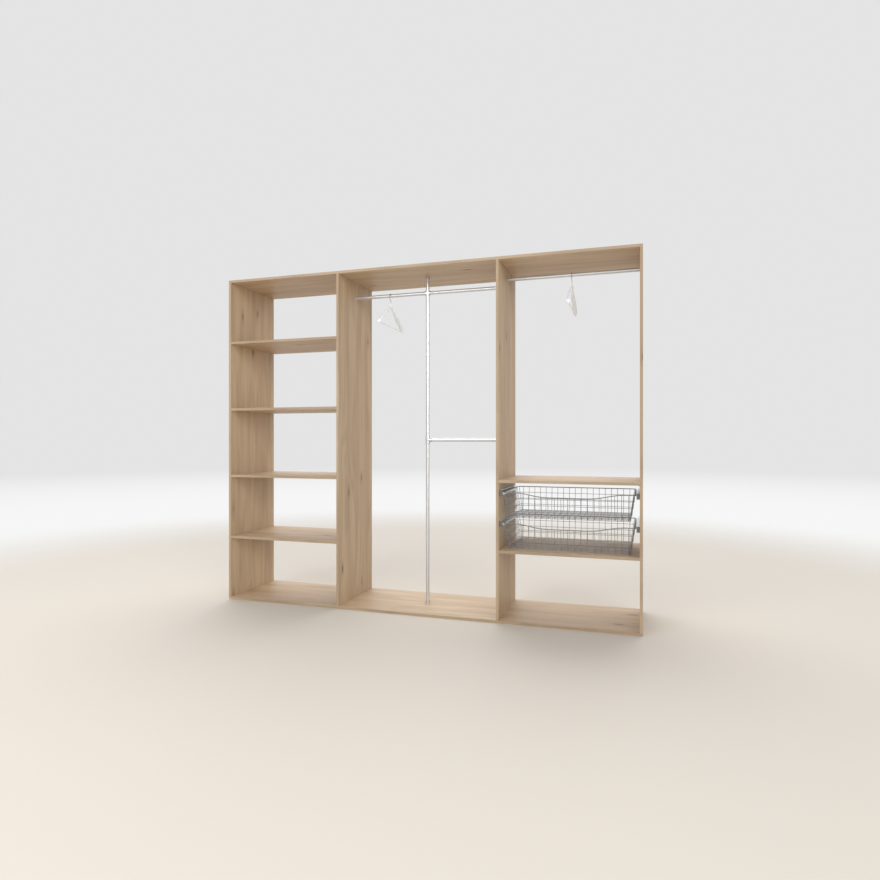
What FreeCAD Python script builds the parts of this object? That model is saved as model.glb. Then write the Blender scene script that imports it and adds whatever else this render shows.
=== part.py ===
import FreeCAD, Part
import math
import os

# Open three-bay walk-in closet unit with shelves, hanging rods on a pole, two wire baskets and hangers.
# Millimetres. The origin is on the floor at the middle of the unit. +X is right and -Y is the open front.

Vector = FreeCAD.Vector
UP = Vector(0, 0, 1)
DOWN = Vector(0, 0, -1)
REARWARD = Vector(0, 1, 0)

# Carcass
HEIGHT = 2400.0
DEPTH = 580.0
BOARD = 18.0
BAY_LEFT = 880.0
BAY_MIDDLE = 1140.0
BAY_RIGHT = 880.0
EDGE_BAND = 1.0
LEFT_SHELVES = (460.0, 920.0, 1420.0, 1920.0)
RIGHT_SHELVES = (460.0, 920.0)
SHELF_PLAY = 0.5

# Carcass fasteners
FIT = 0.1
CONFIRMAT_LENGTH = 50.0
CONFIRMAT_RADIUS = 3.5
CONFIRMAT_HEAD = 5.0
CONFIRMAT_SINK = 0.5
CONFIRMAT_INSET = 60.0
DOWEL_RADIUS = 4.0
DOWEL_LENGTH = 30.0
DOWEL_IN_BOARD = 12.0
PIN_RADIUS = 2.5
PIN_DEPTH = 8.0
PIN_PEG = 8.0
PIN_COLLAR = 4.5
PIN_COLLAR_LENGTH = 1.5
PIN_FLAT = 3.0
PIN_INSET = 37.0

# Countersunk wood screws of the fittings and runners
WOOD_SCREW = 15.5
WOOD_SCREW_RADIUS = 2.0
WOOD_SCREW_HEAD = 4.0

# Rods and pole
ROD_RADIUS = 12.5
ROD_WALL = 1.2
ROD_MIDDLE_DROP = 117.0
ROD_RIGHT_DROP = 66.0
ROD_HALF_Z = 1200.0
PLUG_FLANGE = 2.5
PLUG_DEPTH = 14.0
PLUG_WALL = 4.0
FITTING_FLOOR = 4.0
CUP_WALL = 3.5
CUP_HEIGHT = 26.0
CUP_EDGE = 1.0
POLE_PLAY = 1.0
ROD_PLAY = 0.2
CONNECTOR_WALL = 3.0
CONNECTOR_EDGE = 0.8
SOCKET_STEP = 0.4
CROSS_HEIGHT = 38.0
CROSS_REACH = 23.0
TEE_HEIGHT = 60.0
TEE_REACH = 31.0
GRUB_RADIUS = 2.0
GRUB_RAISE = 10.0

# Hangers
HANGER_LEFT_X = -287.0
HANGER_RIGHT_X = 1030.0
HOOK_WIRE = 1.75
HOOK_RADIUS = 26.0
HOOK_NECK_RADIUS = 8.0
HOOK_TIP_ANGLE = 5.0
HOOK_REST = 0.3
HOOK_HEAD_RADIUS = 3.0
HOOK_HEAD = 2.0
BODY_TOP = 62.0
BODY_HOOK_DEPTH = 18.0
NECK_RADIUS = 6.5
ARM_REACH = 232.0
ARM_ROOT_Z = 78.0
ARM_CROWN = 8.0
ARM_SLOPE = 0.495
ARM_CURVE = 0.0004
ARM_NECK_DROP = 16.0
ARM_NECK_RUN = 28.0
ARM_ROOT_HALF = (7.5, 9.0)
ARM_END_HALF = (15.5, 8.0)
ARM_FLARE = 85.0
ARM_FLARE_RUN = 32.0
ARM_SECTIONS = 10
ARM_POINTS = 16
BAR_RADIUS = 3.0
BAR_DROP = 6.0
BAR_EMBED = 2.0
LUG_RADIUS = 6.5
LUG_INSET = 1.5
LUG_BELOW = 6.0

# Baskets
BASKET_RIMS = {"upper": 858.0, "lower": 655.0}
BASKET_SIDE_GAP = 25.0
RIM_FRONT = 22.0
RIM_BACK = 23.0
RIM_RADIUS = 3.0
RIM_CORNER = 22.0
DIP = 30.0
DIP_FLAT = 110.0
DIP_RUN = 265.0
MESH_WIRE = 3.0
MESH_PITCH = 41.5
MESH_ROW = 42.0
MESH_ROWS = 4
MESH_INSET_X = 26.0
MESH_INSET_Y = 22.0
MESH_GAP = 0.1

# Runners of the baskets
RAIL_DROP = 6.0
RAIL_START = 14.0
RAIL_END_GAP = 16.0
RAIL_HEIGHT = 35.0
RAIL_WIDTH = 12.5
RAIL_SHEET = 1.2
RAIL_MOUTH = 2.5
RAIL_LIP = 3.7
BALL_RADIUS = 2.5
BALL_PLAY = 0.15
CAGE_LENGTH = 140.0
CAGE_SHEET = 0.6
CAGE_PLAY = 0.5
BALLS_PER_ROW = 6
CARRIER_SHEET = 1.5
CARRIER_LEDGE = 1.5
RIM_SEAT = 0.1
RIVET_RADIUS = 2.0
RIVET_HEAD = 3.5
RIVET_HEAD_THICK = 0.8
RIVET_DROP = 3.5
FASTENER_INSET = 37.0
CLIP_WIDTH = 19.0
CLIP_HEIGHT = 36.0
CLIP_FRONT = 8.0
CLIP_TONGUE = 26.0
CLIP_FILLET = 2.0

# Places that follow from the sizes above
WIDTH = BAY_LEFT + BAY_MIDDLE + BAY_RIGHT + 4 * BOARD
FRONT = -DEPTH / 2
BACK = DEPTH / 2
UPRIGHTS = {
    "left_side_panel": -WIDTH / 2,
    "divider_left": -WIDTH / 2 + BOARD + BAY_LEFT,
    "divider_right": WIDTH / 2 - 2 * BOARD - BAY_RIGHT,
    "right_side_panel": WIDTH / 2 - BOARD,
}
LEFT_BAY = (UPRIGHTS["left_side_panel"] + BOARD, UPRIGHTS["divider_left"])
MIDDLE_BAY = (UPRIGHTS["divider_left"] + BOARD, UPRIGHTS["divider_right"])
RIGHT_BAY = (UPRIGHTS["divider_right"] + BOARD, UPRIGHTS["right_side_panel"])
POLE_X = (MIDDLE_BAY[0] + MIDDLE_BAY[1]) / 2
ROD_MIDDLE_Z = HEIGHT - BOARD - ROD_MIDDLE_DROP
ROD_RIGHT_Z = HEIGHT - BOARD - ROD_RIGHT_DROP
RAIL_LENGTH = DEPTH - RAIL_START - RAIL_END_GAP
CONNECTOR_RADIUS = ROD_RADIUS + CONNECTOR_WALL
SPIGOT_RADIUS = ROD_RADIUS - ROD_WALL - FIT

# Each board and fitting collects the holes that its fasteners need
holes = {}


def save(name, shapes):
    """Writes a node: one solid, or a group of separate solids."""
    solids = shapes if isinstance(shapes, list) else [shapes]
    shape = solids[0] if len(solids) == 1 else Part.makeCompound(solids)
    shape.exportStep("parts/" + name + ".step")


def block(x, y, z):
    """A box between the low and high values given for each axis."""
    corner = Vector(min(x), min(y), min(z))
    return Part.makeBox(abs(x[1] - x[0]), abs(y[1] - y[0]), abs(z[1] - z[0]), corner)


def prism(points, along):
    """A flat outline pushed along a vector."""
    return Part.Face(Part.makePolygon(points + points[:1])).extrude(along)


def turned(profile, base, direction):
    """A profile of (radius, distance) points turned about the line from base along direction."""
    points = [Vector(radius, 0, distance) for radius, distance in profile]
    solid = Part.Face(Part.makePolygon(points + points[:1])).revolve(Vector(0, 0, 0), UP, 360)
    solid.Placement = FreeCAD.Placement(base, FreeCAD.Rotation(UP, direction))
    return solid


def rod_between(start, end, radius, bore=0.0):
    """A round bar, or a tube where a bore radius is given."""
    axis = end - start
    bar = Part.makeCylinder(radius, axis.Length, start, axis)
    if bore:
        bar = bar.cut(Part.makeCylinder(bore, axis.Length, start, axis))
    return bar


def drill(name, cutter):
    holes.setdefault(name, []).append(cutter)


def drilled(name, solid):
    """The solid with the holes that were collected for it."""
    if name in holes:
        solid = solid.cut(Part.makeCompound(holes[name]))
    return solid


def confirmat(base, direction, grow=0.0):
    """A connector screw, head face at base; with grow it is the hole for one."""
    head = CONFIRMAT_HEAD + grow
    shank = CONFIRMAT_RADIUS + grow
    end = CONFIRMAT_LENGTH + grow
    cone = CONFIRMAT_HEAD - CONFIRMAT_RADIUS
    sink = CONFIRMAT_SINK if grow else 0.0
    profile = [(0, -sink), (head, -sink), (head, 0), (shank, 2 * cone), (shank, end - cone)]
    screw = turned(profile + [(shank / 2, end), (0, end)], base, direction)
    if not grow:
        screw = screw.cut(socket(base, direction, CONFIRMAT_HEAD * 0.45, 2 * cone))
    return screw


def socket(base, direction, radius, depth):
    """The hexagonal key socket in a screw head."""
    corners = [math.radians(60 * step) for step in range(6)]
    points = [Vector(radius * math.cos(a), radius * math.sin(a), 0) for a in corners]
    key = prism(points, Vector(0, 0, depth))
    key.Placement = FreeCAD.Placement(base, FreeCAD.Rotation(UP, direction))
    return key


def wood_screw(base, direction, grow=0.0):
    """A countersunk wood screw, head face at base; with grow it is the hole for one."""
    head = WOOD_SCREW_HEAD + grow
    shank = WOOD_SCREW_RADIUS + grow
    end = WOOD_SCREW + grow
    cone = WOOD_SCREW_HEAD - WOOD_SCREW_RADIUS
    profile = [(0, 0), (head, 0), (shank, cone), (shank, end - cone), (shank / 4, end), (0, end)]
    screw = turned(profile, base, direction)
    if not grow:
        screw = screw.cut(socket(base, direction, WOOD_SCREW_HEAD * 0.35, cone * 0.75))
    return screw


def fasten(screws, base, direction, through):
    """Adds a wood screw and drills its hole in each piece that it passes."""
    screws.append(wood_screw(base, direction))
    for name in through:
        drill(name, wood_screw(base, direction, FIT / 2))


def carcass_joints():
    """Screws and dowels between the top and bottom panels and the uprights."""
    screws = []
    dowels = []
    reach = DEPTH / 2 - CONFIRMAT_INSET
    for name, left in UPRIGHTS.items():
        x = left + BOARD / 2
        for panel, face, joint, inward in (
            ("top_panel", HEIGHT, HEIGHT - BOARD, DOWN),
            ("bottom_panel", 0.0, BOARD, UP),
        ):
            for y in (-reach, 0.0, reach):
                head = Vector(x, y, face) + inward * CONFIRMAT_SINK
                screws.append(confirmat(head, inward))
                drill(panel, confirmat(head, inward, FIT / 2))
                drill(name, confirmat(head, inward, FIT / 2))
            for y in (-reach / 2, reach / 2):
                start = Vector(x, y, joint) - inward * DOWEL_IN_BOARD
                end = start + inward * DOWEL_LENGTH
                dowels.append(rod_between(start, end, DOWEL_RADIUS))
                hole = rod_between(start - inward * FIT, end + inward, DOWEL_RADIUS + FIT / 2)
                drill(panel, hole)
                drill(name, hole)
    save("panel_screws", screws)
    save("panel_dowels", dowels)


def shelf_pin(face, outward, y, underside):
    """A pin in the upright's face, cut flat where the shelf rests on it."""
    axis = Vector(outward, 0, 0)
    base = Vector(face - outward * PIN_DEPTH, y, underside - PIN_FLAT)
    shoulder = PIN_DEPTH + PIN_COLLAR_LENGTH
    end = PIN_DEPTH + PIN_PEG
    profile = [(0, 0), (PIN_RADIUS, 0), (PIN_RADIUS, PIN_DEPTH), (PIN_COLLAR, PIN_DEPTH)]
    profile += [(PIN_COLLAR, shoulder), (PIN_FLAT + 0.5, shoulder), (PIN_FLAT + 0.5, end), (0, end)]
    pin = turned(profile, base, axis)
    room = PIN_COLLAR + 1
    across = (face, face + outward * (PIN_PEG + 1))
    above = block(across, (y - room, y + room), (underside, underside + room))
    return pin.cut(above)


def shelves(bay, sides, heights, prefix):
    """Shelves in a bay, each resting on four pins in the uprights beside it."""
    pins = []
    bands = []
    for number, underside in enumerate(heights, 1):
        x = (bay[0] + SHELF_PLAY, bay[1] - SHELF_PLAY)
        z = (underside, underside + BOARD)
        save(prefix + "_shelf_" + str(number), block(x, (FRONT + EDGE_BAND, BACK), z))
        bands.append(block(x, (FRONT, FRONT + EDGE_BAND), z))
        for name, face, outward in ((sides[0], bay[0], 1), (sides[1], bay[1], -1)):
            for y in (FRONT + PIN_INSET, BACK - PIN_INSET):
                pins.append(shelf_pin(face, outward, y, underside))
                start = Vector(face, y, underside - PIN_FLAT)
                end = start - Vector(outward * (PIN_DEPTH + FIT), 0, 0)
                drill(name, rod_between(start, end, PIN_RADIUS + FIT / 2))
    return pins, bands


def carcass(pins, bands):
    """The boards, cut last because every fitting drills into them."""
    span = (-WIDTH / 2, WIDTH / 2)
    rear = (FRONT + EDGE_BAND, BACK)
    lip = (FRONT, FRONT + EDGE_BAND)
    for name, z in (("bottom_panel", (0.0, BOARD)), ("top_panel", (HEIGHT - BOARD, HEIGHT))):
        save(name, drilled(name, block(span, rear, z)))
        bands.append(block(span, lip, z))
    for name, left in UPRIGHTS.items():
        x = (left, left + BOARD)
        z = (BOARD, HEIGHT - BOARD)
        save(name, drilled(name, block(x, rear, z)))
        bands.append(block(x, lip, z))
    save("front_edge_bands", bands)
    save("shelf_pins", pins)


def rod_plug(face, outward, z, upright, screws):
    """A plug screwed to an upright, which the rod's end slides over."""
    base = Vector(face, 0, z)
    end = PLUG_FLANGE + PLUG_DEPTH
    inner = SPIGOT_RADIUS - PLUG_WALL
    profile = [(0, 0), (ROD_RADIUS, 0), (ROD_RADIUS, PLUG_FLANGE), (SPIGOT_RADIUS, PLUG_FLANGE)]
    profile += [(SPIGOT_RADIUS, end), (inner, end), (inner, FITTING_FLOOR), (0, FITTING_FLOOR)]
    axis = Vector(outward, 0, 0)
    head = base + axis * FITTING_FLOOR
    fasten(screws, head, -axis, (upright,))
    return turned(profile, base, axis).cut(wood_screw(head, -axis, FIT / 2))


def pole_cup(name, z, outward, panel, screws):
    """A cup that holds the pole's end, fastened by a screw through its floor."""
    bore = ROD_RADIUS + FIT / 2
    rim = bore + CUP_WALL
    profile = [(0, 0), (rim, 0), (rim, CUP_HEIGHT - CUP_EDGE), (rim - CUP_EDGE, CUP_HEIGHT)]
    profile += [(bore, CUP_HEIGHT), (bore, FITTING_FLOOR), (0, FITTING_FLOOR)]
    base = Vector(POLE_X, 0, z)
    fasten(screws, base + outward * FITTING_FLOOR, -outward, (panel, name))
    save(name, drilled(name, turned(profile, base, outward)))


def connector(name, z, height, reach, sides, grubs):
    """A sleeve on the pole with a socket for the rod on each side given, held by a grub screw."""
    half = height / 2
    middle = Vector(POLE_X, 0, z)
    edge = CONNECTOR_EDGE
    slim = CONNECTOR_RADIUS - edge
    profile = [(0, 0), (slim, 0), (CONNECTOR_RADIUS, edge), (CONNECTOR_RADIUS, height - edge)]
    profile += [(slim, height), (0, height)]
    body = turned(profile, middle - UP * half, UP)
    outer = CONNECTOR_RADIUS - SOCKET_STEP
    profile = [(0, 0), (outer, 0), (outer, reach - edge), (outer - edge, reach), (0, reach)]
    for side in sides:
        body = body.fuse(turned(profile, middle, Vector(side, 0, 0)))
    bore = ROD_RADIUS + FIT / 2
    body = body.cut(rod_between(middle - UP * half, middle + UP * half, bore))
    for side in sides:
        axis = Vector(side, 0, 0)
        body = body.cut(rod_between(middle + axis * CONNECTOR_RADIUS, middle + axis * (reach + 1), bore))
    place = middle + UP * (half - GRUB_RAISE) if height > CROSS_HEIGHT else middle
    start = place + REARWARD * (ROD_RADIUS + FIT)
    end = place + REARWARD * (CONNECTOR_RADIUS - FIT)
    body = body.cut(rod_between(start - REARWARD, end + REARWARD, GRUB_RADIUS + FIT / 2))
    grub = rod_between(start, end, GRUB_RADIUS)
    grubs.append(grub.cut(socket(end, -REARWARD, GRUB_RADIUS / 2, CONNECTOR_WALL / 2)))
    save(name, body)


def rods():
    """Hanging rods, their end plugs, and the pole with its end cups and connectors."""
    screws = []
    plugs = []
    grubs = []
    seat = PLUG_FLANGE + ROD_PLAY
    joint = CONNECTOR_RADIUS + ROD_PLAY
    spans = {
        "hanging_rod_middle_left": (MIDDLE_BAY[0] + seat, POLE_X - joint, ROD_MIDDLE_Z),
        "hanging_rod_middle_right": (POLE_X + joint, MIDDLE_BAY[1] - seat, ROD_MIDDLE_Z),
        "hanging_rod_half": (POLE_X + joint, MIDDLE_BAY[1] - seat, ROD_HALF_Z),
        "hanging_rod_right": (RIGHT_BAY[0] + seat, RIGHT_BAY[1] - seat, ROD_RIGHT_Z),
    }
    for name, (left, right, z) in spans.items():
        ends = (Vector(left, 0, z), Vector(right, 0, z))
        save(name, rod_between(*ends, ROD_RADIUS, ROD_RADIUS - ROD_WALL))
    plugs.append(rod_plug(MIDDLE_BAY[0], 1, ROD_MIDDLE_Z, "divider_left", screws))
    plugs.append(rod_plug(MIDDLE_BAY[1], -1, ROD_MIDDLE_Z, "divider_right", screws))
    plugs.append(rod_plug(MIDDLE_BAY[1], -1, ROD_HALF_Z, "divider_right", screws))
    plugs.append(rod_plug(RIGHT_BAY[0], 1, ROD_RIGHT_Z, "divider_right", screws))
    plugs.append(rod_plug(RIGHT_BAY[1], -1, ROD_RIGHT_Z, "right_side_panel", screws))
    save("rod_end_plugs", plugs)
    pole_cup("pole_foot_cup", BOARD, UP, "bottom_panel", screws)
    pole_cup("pole_top_cup", HEIGHT - BOARD, DOWN, "top_panel", screws)
    foot = Vector(POLE_X, 0, BOARD + FITTING_FLOOR)
    head = Vector(POLE_X, 0, HEIGHT - BOARD - FITTING_FLOOR - POLE_PLAY)
    save("pole", rod_between(foot, head, ROD_RADIUS, ROD_RADIUS - ROD_WALL))
    connector("pole_cross_connector", ROD_MIDDLE_Z, CROSS_HEIGHT, CROSS_REACH, (-1, 1), grubs)
    connector("pole_tee_connector", ROD_HALF_Z, TEE_HEIGHT, TEE_REACH, (1,), grubs)
    save("connector_grub_screws", grubs)
    save("fitting_screws", screws)


def swept(path, start, heading, radius):
    """A round wire along a smooth path."""
    ring = Part.Wire(Part.Circle(start, heading, radius).toShape())
    return Part.Wire(path).makePipeShell([ring], True, False)


def hanger_hook():
    """The hook: round the rod, back to the middle, down into the body, ending in a peened head."""
    centre = UP * (ROD_RADIUS + HOOK_REST + HOOK_WIRE - HOOK_RADIUS)
    drop = math.sqrt(HOOK_RADIUS ** 2 + 2 * HOOK_RADIUS * HOOK_NECK_RADIUS)
    neck = centre + Vector(0, -HOOK_NECK_RADIUS, -drop)
    share = HOOK_RADIUS / (HOOK_RADIUS + HOOK_NECK_RADIUS)
    bend = centre + (neck - centre) * share
    tip_angle = math.radians(HOOK_TIP_ANGLE)
    tip = centre + Vector(0, math.cos(tip_angle), math.sin(tip_angle)) * HOOK_RADIUS
    top = centre + UP * HOOK_RADIUS
    shank = neck + REARWARD * HOOK_NECK_RADIUS
    turn = math.atan2(drop, HOOK_NECK_RADIUS) / 2
    middle = neck + Vector(0, math.cos(turn), math.sin(turn)) * HOOK_NECK_RADIUS
    foot = DOWN * (BODY_TOP + BODY_HOOK_DEPTH + HOOK_HEAD / 2)
    path = [
        Part.Arc(tip, top, bend).toShape(),
        Part.Arc(bend, middle, shank).toShape(),
        Part.LineSegment(shank, foot).toShape(),
    ]
    heading = Vector(0, -math.sin(tip_angle), math.cos(tip_angle))
    hook = swept(path, tip, heading, HOOK_WIRE)
    hook = hook.fuse(Part.makeSphere(HOOK_WIRE * 1.25, tip))
    head = DOWN * (BODY_TOP + BODY_HOOK_DEPTH + FIT)
    return hook.fuse(rod_between(head, head + DOWN * HOOK_HEAD, HOOK_HEAD_RADIUS))


def arm_height(y):
    """Height of the arms' centre line, measured from the rod; its crown is rounded."""
    reach = math.hypot(y, ARM_CROWN) - ARM_CROWN
    neck = ARM_NECK_DROP * (1 - math.exp(-reach / ARM_NECK_RUN))
    return -(ARM_ROOT_Z + neck + ARM_SLOPE * reach + ARM_CURVE * reach * reach)


def arm_section(y):
    """The oval section of the hanger's arms, broad at the shoulders."""
    share = abs(y) / ARM_REACH
    flare = (1 + math.tanh((abs(y) - ARM_FLARE) / ARM_FLARE_RUN)) / 2
    half_x = ARM_ROOT_HALF[0] + (ARM_END_HALF[0] - ARM_ROOT_HALF[0]) * flare
    half_z = ARM_ROOT_HALF[1] + (ARM_END_HALF[1] - ARM_ROOT_HALF[1]) * share
    turns = [2 * math.pi * step / ARM_POINTS for step in range(ARM_POINTS)]
    points = [Vector(half_x * math.cos(t), y, arm_height(y) + half_z * math.sin(t)) for t in turns]
    curve = Part.BSplineCurve()
    curve.interpolate(points, PeriodicFlag=True)
    return Part.Wire(curve.toShape())


def hanger_body():
    """The body: arms lofted through ovals, a neck that holds the hook, a lug at each end for the bar."""
    steps = range(-ARM_SECTIONS, ARM_SECTIONS + 1)
    body = Part.makeLoft([arm_section(ARM_REACH * step / ARM_SECTIONS) for step in steps], True, False)
    top = DOWN * BODY_TOP
    body = body.fuse(rod_between(top, DOWN * ARM_ROOT_Z, NECK_RADIUS))
    lug_y = ARM_REACH - LUG_RADIUS - LUG_INSET
    bar_z = arm_height(ARM_REACH) - BAR_DROP
    for side in (-1, 1):
        high = Vector(0, side * lug_y, arm_height(lug_y))
        body = body.fuse(rod_between(high, Vector(0, side * lug_y, bar_z - LUG_BELOW), LUG_RADIUS))
    reach = lug_y + BAR_EMBED + FIT
    bar = rod_between(Vector(0, -reach, bar_z), Vector(0, reach, bar_z), BAR_RADIUS + FIT / 2)
    body = body.cut(bar)
    floor = DOWN * (BODY_TOP + BODY_HOOK_DEPTH)
    below = DOWN * (ARM_ROOT_Z + 2 * ARM_ROOT_HALF[1])
    body = body.cut(rod_between(top + UP, below, HOOK_WIRE + FIT))
    return body.cut(rod_between(floor, below, HOOK_HEAD_RADIUS + 2 * FIT))


def hanger(name, x, rod_z):
    """A hanger on a rod: hook, body and trouser bar."""
    reach = ARM_REACH - LUG_RADIUS - LUG_INSET + BAR_EMBED
    bar_z = arm_height(ARM_REACH) - BAR_DROP
    bar = rod_between(Vector(0, -reach, bar_z), Vector(0, reach, bar_z), BAR_RADIUS)
    for piece, shape in (("_hook", hanger_hook()), ("_body", hanger_body()), ("_trouser_bar", bar)):
        save(name + piece, shape.translated(Vector(x, 0, rod_z)))


def dip_height(x):
    """Height of the rim's front run at a distance from the basket's middle: flat, two arcs, flat."""
    away = abs(x) - DIP_FLAT
    if away <= 0:
        return -DIP
    if away >= DIP_RUN:
        return 0.0
    radius = (DIP_RUN ** 2 + DIP ** 2) / (4 * DIP)
    near = min(away, DIP_RUN - away)
    rise = radius - math.sqrt(radius ** 2 - near ** 2)
    return rise - DIP if away <= DIP_RUN / 2 else -rise


def rim_path(middle, half_x, half_y):
    """The rim's closed centre line: square corners rounded, with the dip in the front run."""
    corner = RIM_CORNER
    inner = corner * (1 - math.sqrt(0.5))

    def at(x, y, z=0.0):
        return middle + Vector(x, y, z)

    def line(start, end):
        return Part.LineSegment(start, end).toShape()

    def arc(start, through, end):
        return Part.Arc(start, through, end).toShape()

    def dip_arc(x_from, x_to):
        mid = (x_from + x_to) / 2
        ends = [at(x, -half_y, dip_height(x)) for x in (x_from, mid, x_to)]
        return arc(*ends)

    outer = DIP_FLAT + DIP_RUN
    turn = DIP_FLAT + DIP_RUN / 2
    left = half_x - corner
    edges = [line(at(-left, -half_y), at(-outer, -half_y))]
    edges.append(dip_arc(-outer, -turn))
    edges.append(dip_arc(-turn, -DIP_FLAT))
    edges.append(line(at(-DIP_FLAT, -half_y, -DIP), at(DIP_FLAT, -half_y, -DIP)))
    edges.append(dip_arc(DIP_FLAT, turn))
    edges.append(dip_arc(turn, outer))
    edges.append(line(at(outer, -half_y), at(left, -half_y)))
    for side_x, side_y in ((1, -1), (1, 1), (-1, 1), (-1, -1)):
        along_x = at(side_x * left, side_y * half_y)
        along_y = at(side_x * half_x, side_y * (half_y - corner))
        through = at(side_x * (half_x - inner), side_y * (half_y - inner))
        turning = (along_x, along_y) if side_x == side_y * -1 else (along_y, along_x)
        edges.append(arc(turning[0], through, turning[1]))
        if side_x == side_y * -1:
            far = at(side_x * half_x, -side_y * (half_y - corner))
            edges.append(line(along_y, far))
        elif side_y == 1:
            edges.append(line(along_x, at(-left, half_y)))
    return edges


def grille(outline, windows, thickness):
    """One welded wall of the basket: a flat outline with its windows, as thick as the wire."""
    wires = [Part.makePolygon(points + points[:1]) for points in [outline] + windows]
    return Part.Face(wires, "Part::FaceMakerCheese").extrude(thickness)


def wall(place, half_top, slope, count, tops, thickness):
    """A sloping wall of upright wires and level rows; the wires end at the rim, or under its corners."""
    half_wire = MESH_WIRE / 2
    depth = MESH_ROW * MESH_ROWS - MESH_WIRE

    def edge(z):
        return half_top + slope * z

    first = -MESH_ROW + half_wire
    corner = -RIM_RADIUS - MESH_GAP
    uprights = [MESH_PITCH * n for n in range(count, -count - 1, -1)]
    outline = [place(-edge(-depth), -depth), place(edge(-depth), -depth)]
    outline += [place(edge(corner), corner), place(edge(corner) - MESH_WIRE, corner)]
    outline += [place(edge(first) - MESH_WIRE, first)]
    for u in uprights:
        outline += [place(u + half_wire, first), place(u + half_wire, tops(u))]
        outline += [place(u - half_wire, tops(u)), place(u - half_wire, first)]
    outline += [place(MESH_WIRE - edge(first), first)]
    outline += [place(MESH_WIRE - edge(corner), corner), place(-edge(corner), corner)]
    windows = []
    for row in range(1, MESH_ROWS):
        high = -MESH_ROW * row - half_wire
        low = -MESH_ROW * (row + 1) + half_wire if row < MESH_ROWS - 1 else -depth + MESH_WIRE
        sides = [(edge(high) - MESH_WIRE, edge(low) - MESH_WIRE)]
        for u in uprights:
            sides.append((u + half_wire, u + half_wire))
            sides.append((u - half_wire, u - half_wire))
        sides.append((MESH_WIRE - edge(high), MESH_WIRE - edge(low)))
        for right, left in zip(sides[0::2], sides[1::2]):
            corners = [(left[0], high), (left[1], low), (right[1], low), (right[0], high)]
            windows.append([place(u, z) for u, z in corners])
    return grille(outline, windows, thickness)


def basket_mesh(middle, half_x, half_y):
    """Front, back, side and bottom walls, each touching the next."""
    top_x = half_x - RIM_RADIUS
    top_y = half_y - RIM_RADIUS
    deep = MESH_ROW * MESH_ROWS
    slope_x = MESH_INSET_X / deep
    slope_y = MESH_INSET_Y / deep
    low_x = top_x - MESH_INSET_X
    low_y = top_y - MESH_INSET_Y
    count_x = int((low_x - 2 * MESH_WIRE) / MESH_PITCH)
    count_y = int((low_y - 2 * MESH_WIRE) / MESH_PITCH)
    walls = []
    for side in (-1, 1):
        tops = dip_height if side < 0 else level_rim

        def across(u, z, side=side):
            return middle + Vector(u, side * (top_y + slope_y * z), z)

        def along(u, z, side=side):
            return middle + Vector(side * (top_x + slope_x * z), u, z)

        inside = top_x - MESH_WIRE - MESH_GAP
        walls.append(wall(across, inside, slope_x, count_x, tops, Vector(0, -side * MESH_WIRE, 0)))
        walls.append(wall(along, top_y, slope_y, count_y, level_rim, Vector(-side * MESH_WIRE, 0, 0)))

    def flat(x, y):
        return middle + Vector(x, y, -deep)

    columns = window_edges(low_x, count_x)
    rows = window_edges(low_y, count_y)
    outline = [flat(-low_x, -low_y), flat(low_x, -low_y), flat(low_x, low_y), flat(-low_x, low_y)]
    windows = []
    for x0, x1 in columns:
        windows += [[flat(x0, y0), flat(x1, y0), flat(x1, y1), flat(x0, y1)] for y0, y1 in rows]
    walls.append(grille(outline, windows, UP * MESH_WIRE))
    return walls


def level_rim(_):
    return 0.0


def window_edges(half, count):
    """Low and high edges of the windows between evenly spaced wires and the two border wires."""
    half_wire = MESH_WIRE / 2
    wires = [MESH_PITCH * n for n in range(-count, count + 1)]
    lows = [-half + MESH_WIRE] + [w + half_wire for w in wires]
    highs = [w - half_wire for w in wires] + [half - MESH_WIRE]
    return list(zip(lows, highs))


def rail_profile(face, inward, z, points):
    """Turns (distance from the panel, height) points into a closed outline at the rail's front end."""
    return [Vector(face + inward * away, FRONT + RAIL_START, z + high) for away, high in points]


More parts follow.
